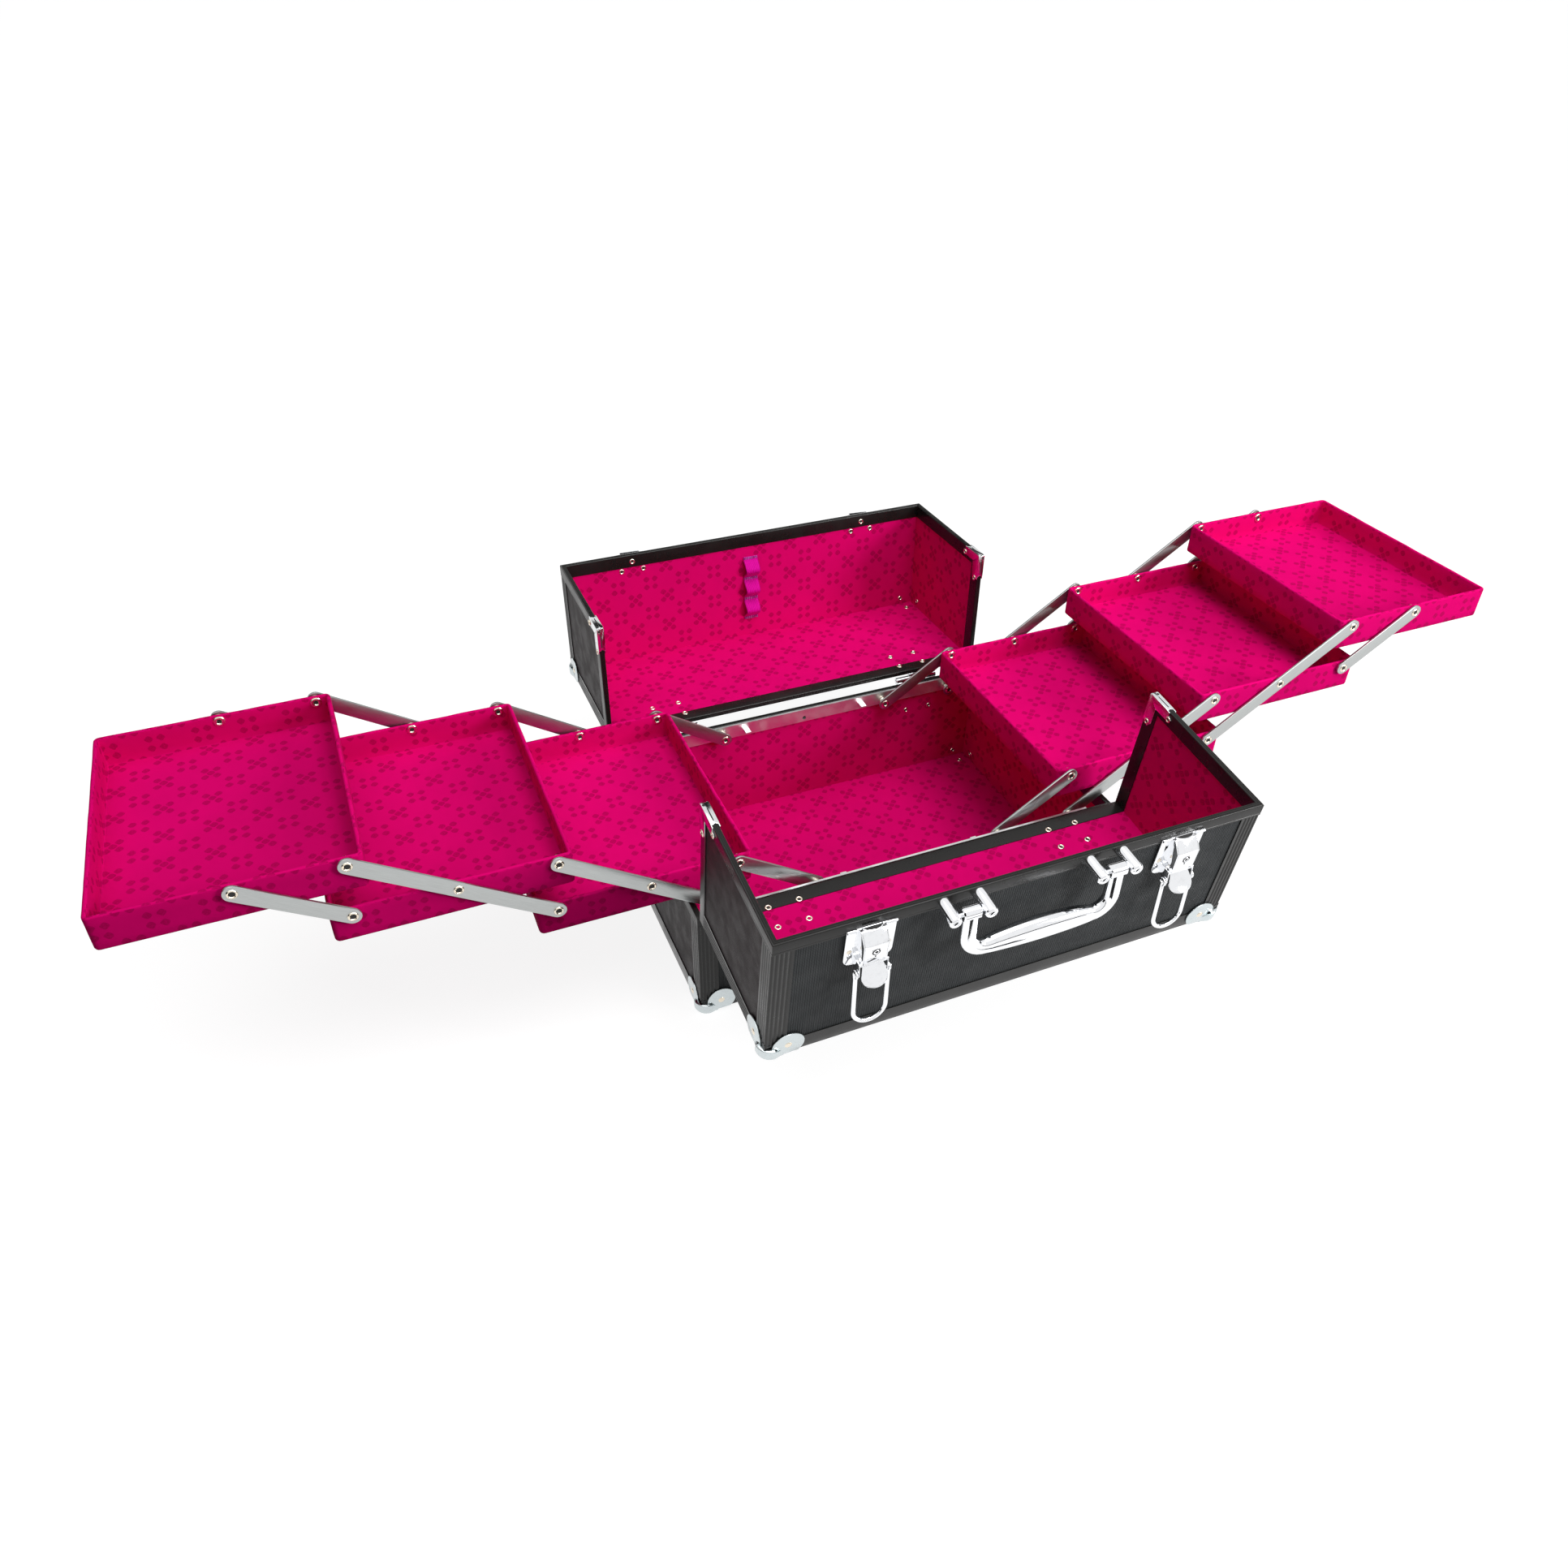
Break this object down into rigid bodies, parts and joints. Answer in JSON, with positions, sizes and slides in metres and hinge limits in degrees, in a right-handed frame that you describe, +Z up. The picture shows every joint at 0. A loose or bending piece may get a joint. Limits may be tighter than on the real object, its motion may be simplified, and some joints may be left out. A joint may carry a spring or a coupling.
{
  "type": "makeup case",
  "caption": "Hard cosmetics case with fold-open covers and cantilever trays that swing out of its base on parallel arms.",
  "frame": {"origin": "on the surface the case stands on, under the middle of its base", "axes": "+X along the case to its right end, +Y from the front (handle) side to the back, +Z up"},
  "size_m": [1.1314, 0.5436, 0.2303],
  "materials": {
    "panel": "matte black skin with a fine weave",
    "profile": "black anodised",
    "lining": "hot pink cloth with a tonal print",
    "tray": "hot pink cloth over a stiff tray",
    "elastic": "woven elastic",
    "chrome": "bright nickel plate",
    "arm": "satin"
  },
  "bodies": {
    "base": {"base_panels": "panel", "base_lining": "lining", "base_frame": "profile", "base_cap_fl": "chrome", "base_cap_fr": "chrome", "base_cap_bl": "chrome", "base_cap_br": "chrome", "bar_front": "arm", "bar_back": "arm", "leaf_base_fl": "chrome", "leaf_base_fr": "chrome", "leaf_base_bl": "chrome", "leaf_base_br": "chrome"},
    "front_cover": {"front_panels": "panel", "front_lining": "lining", "front_frame": "profile", "front_cap_l": "chrome", "front_cap_r": "chrome", "front_clip_l": "chrome", "front_clip_r": "chrome", "leaf_front_l": "chrome", "leaf_front_r": "chrome", "latch_plate_l": "chrome", "latch_plate_r": "chrome", "handle_mount_l": "chrome", "handle_mount_r": "chrome"},
    "back_cover": {"back_panels": "panel", "back_lining": "lining", "back_frame": "profile", "back_cap_l": "chrome", "back_cap_r": "chrome", "back_clip_l": "chrome", "back_clip_r": "chrome", "leaf_back_l": "chrome", "leaf_back_r": "chrome", "catch_l": "chrome", "catch_r": "chrome", "brush_strap": "elastic"},
    "handle": {"handle": "chrome"},
    "latch_tongue_l": {"latch_tongue_l": "chrome"},
    "latch_bail_l": {"latch_bail_l": "chrome"},
    "latch_tongue_r": {"latch_tongue_r": "chrome"},
    "latch_bail_r": {"latch_bail_r": "chrome"},
    "tray_l1": {"tray_l1": "tray"},
    "tray_l2": {"tray_l2": "tray"},
    "tray_l3": {"tray_l3": "tray"},
    "arm_l1": {"arm_l1": "arm"},
    "arm_l2": {"arm_l2": "arm"},
    "arm_l3": {"arm_l3": "arm"},
    "arm_l4": {"arm_l4": "arm"},
    "tray_r1": {"tray_r1": "tray"},
    "tray_r2": {"tray_r2": "tray"},
    "tray_r3": {"tray_r3": "tray"},
    "arm_r1": {"arm_r1": "arm"},
    "arm_r2": {"arm_r2": "arm"},
    "arm_r3": {"arm_r3": "arm"},
    "arm_r4": {"arm_r4": "arm"}
  },
  "joints": [
    {"name": "front_cover_hinge", "type": "hinge", "parent": "base", "child": "front_cover", "pos_m": [0, -0.122, 0.1052], "axis": [-1, 0, 0], "range_deg": [0, 30]},
    {"name": "back_cover_hinge", "type": "hinge", "parent": "base", "child": "back_cover", "pos_m": [0, 0.122, 0.1052], "axis": [1, 0, 0], "range_deg": [0, 24]},
    {"name": "handle_pivot", "type": "hinge", "parent": "front_cover", "child": "handle", "pos_m": [0, -0.27763, 0.2075], "axis": [-1, 0, 0], "range_deg": [0, 150]},
    {"name": "latch_tongue_l_pivot", "type": "hinge", "parent": "front_cover", "child": "latch_tongue_l", "pos_m": [-0.118, -0.26909, 0.17983], "axis": [-1, 0, 0], "range_deg": [-34, 58]},
    {"name": "latch_bail_l_pivot", "type": "hinge", "parent": "front_cover", "child": "latch_bail_l", "pos_m": [-0.118, -0.26927, 0.17225], "axis": [-1, 0, 0], "range_deg": [0, 165]},
    {"name": "latch_tongue_r_pivot", "type": "hinge", "parent": "front_cover", "child": "latch_tongue_r", "pos_m": [0.118, -0.26909, 0.17983], "axis": [-1, 0, 0], "range_deg": [-34, 58]},
    {"name": "latch_bail_r_pivot", "type": "hinge", "parent": "front_cover", "child": "latch_bail_r", "pos_m": [0.118, -0.26927, 0.17225], "axis": [-1, 0, 0], "range_deg": [0, 165]},
    {"name": "arm_l1_pivot", "type": "hinge", "parent": "base", "child": "arm_l1", "pos_m": [-0.15, 0, 0.0957], "axis": [0, 1, 0], "range_deg": [0, 120.6]},
    {"name": "tray_l1_pivot", "type": "hinge", "parent": "arm_l1", "child": "tray_l1", "pos_m": [-0.21458, 0, 0.13764], "axis": [0, 1, 0], "range_deg": [-122, 1]},
    {"name": "arm_l2_pivot", "type": "hinge", "parent": "tray_l1", "child": "arm_l2", "pos_m": [-0.28358, 0, 0.13764], "axis": [0, 1, 0], "range_deg": [-1, 122]},
    {"name": "tray_l2_pivot", "type": "hinge", "parent": "arm_l2", "child": "tray_l2", "pos_m": [-0.34815, 0, 0.17957], "axis": [0, 1, 0], "range_deg": [-122, 1]},
    {"name": "arm_l3_pivot", "type": "hinge", "parent": "tray_l2", "child": "arm_l3", "pos_m": [-0.41715, 0, 0.17957], "axis": [0, 1, 0], "range_deg": [-1, 122]},
    {"name": "tray_l3_pivot", "type": "hinge", "parent": "arm_l3", "child": "tray_l3", "pos_m": [-0.48173, 0, 0.22151], "axis": [0, 1, 0], "range_deg": [-122, 1]},
    {"name": "arm_l4_pivot", "type": "hinge", "parent": "base", "child": "arm_l4", "pos_m": [-0.081, 0, 0.0957], "axis": [0, 1, 0], "range_deg": [-1, 122]},
    {"name": "arm_r1_pivot", "type": "hinge", "parent": "base", "child": "arm_r1", "pos_m": [0.15, 0, 0.0957], "axis": [0, -1, 0], "range_deg": [0, 120.6]},
    {"name": "tray_r1_pivot", "type": "hinge", "parent": "arm_r1", "child": "tray_r1", "pos_m": [0.21458, 0, 0.13764], "axis": [0, -1, 0], "range_deg": [-122, 1]},
    {"name": "arm_r2_pivot", "type": "hinge", "parent": "tray_r1", "child": "arm_r2", "pos_m": [0.28358, 0, 0.13764], "axis": [0, -1, 0], "range_deg": [-1, 122]},
    {"name": "tray_r2_pivot", "type": "hinge", "parent": "arm_r2", "child": "tray_r2", "pos_m": [0.34815, 0, 0.17957], "axis": [0, -1, 0], "range_deg": [-122, 1]},
    {"name": "arm_r3_pivot", "type": "hinge", "parent": "tray_r2", "child": "arm_r3", "pos_m": [0.41715, 0, 0.17957], "axis": [0, -1, 0], "range_deg": [-1, 122]},
    {"name": "tray_r3_pivot", "type": "hinge", "parent": "arm_r3", "child": "tray_r3", "pos_m": [0.48173, 0, 0.22151], "axis": [0, -1, 0], "range_deg": [-122, 1]},
    {"name": "arm_r4_pivot", "type": "hinge", "parent": "base", "child": "arm_r4", "pos_m": [0.081, 0, 0.0957], "axis": [0, -1, 0], "range_deg": [-1, 122]}
  ],
  "couplings": [
    {"joint": "tray_l1_pivot", "follows": "arm_l1_pivot", "ratio": -1},
    {"joint": "arm_l2_pivot", "follows": "arm_l1_pivot", "ratio": 1},
    {"joint": "tray_l2_pivot", "follows": "arm_l1_pivot", "ratio": -1},
    {"joint": "arm_l3_pivot", "follows": "arm_l1_pivot", "ratio": 1},
    {"joint": "tray_l3_pivot", "follows": "arm_l1_pivot", "ratio": -1},
    {"joint": "arm_l4_pivot", "follows": "arm_l1_pivot", "ratio": 1},
    {"joint": "tray_r1_pivot", "follows": "arm_r1_pivot", "ratio": -1},
    {"joint": "arm_r2_pivot", "follows": "arm_r1_pivot", "ratio": 1},
    {"joint": "tray_r2_pivot", "follows": "arm_r1_pivot", "ratio": -1},
    {"joint": "arm_r3_pivot", "follows": "arm_r1_pivot", "ratio": 1},
    {"joint": "tray_r3_pivot", "follows": "arm_r1_pivot", "ratio": -1},
    {"joint": "arm_r4_pivot", "follows": "arm_r1_pivot", "ratio": 1}
  ]
}
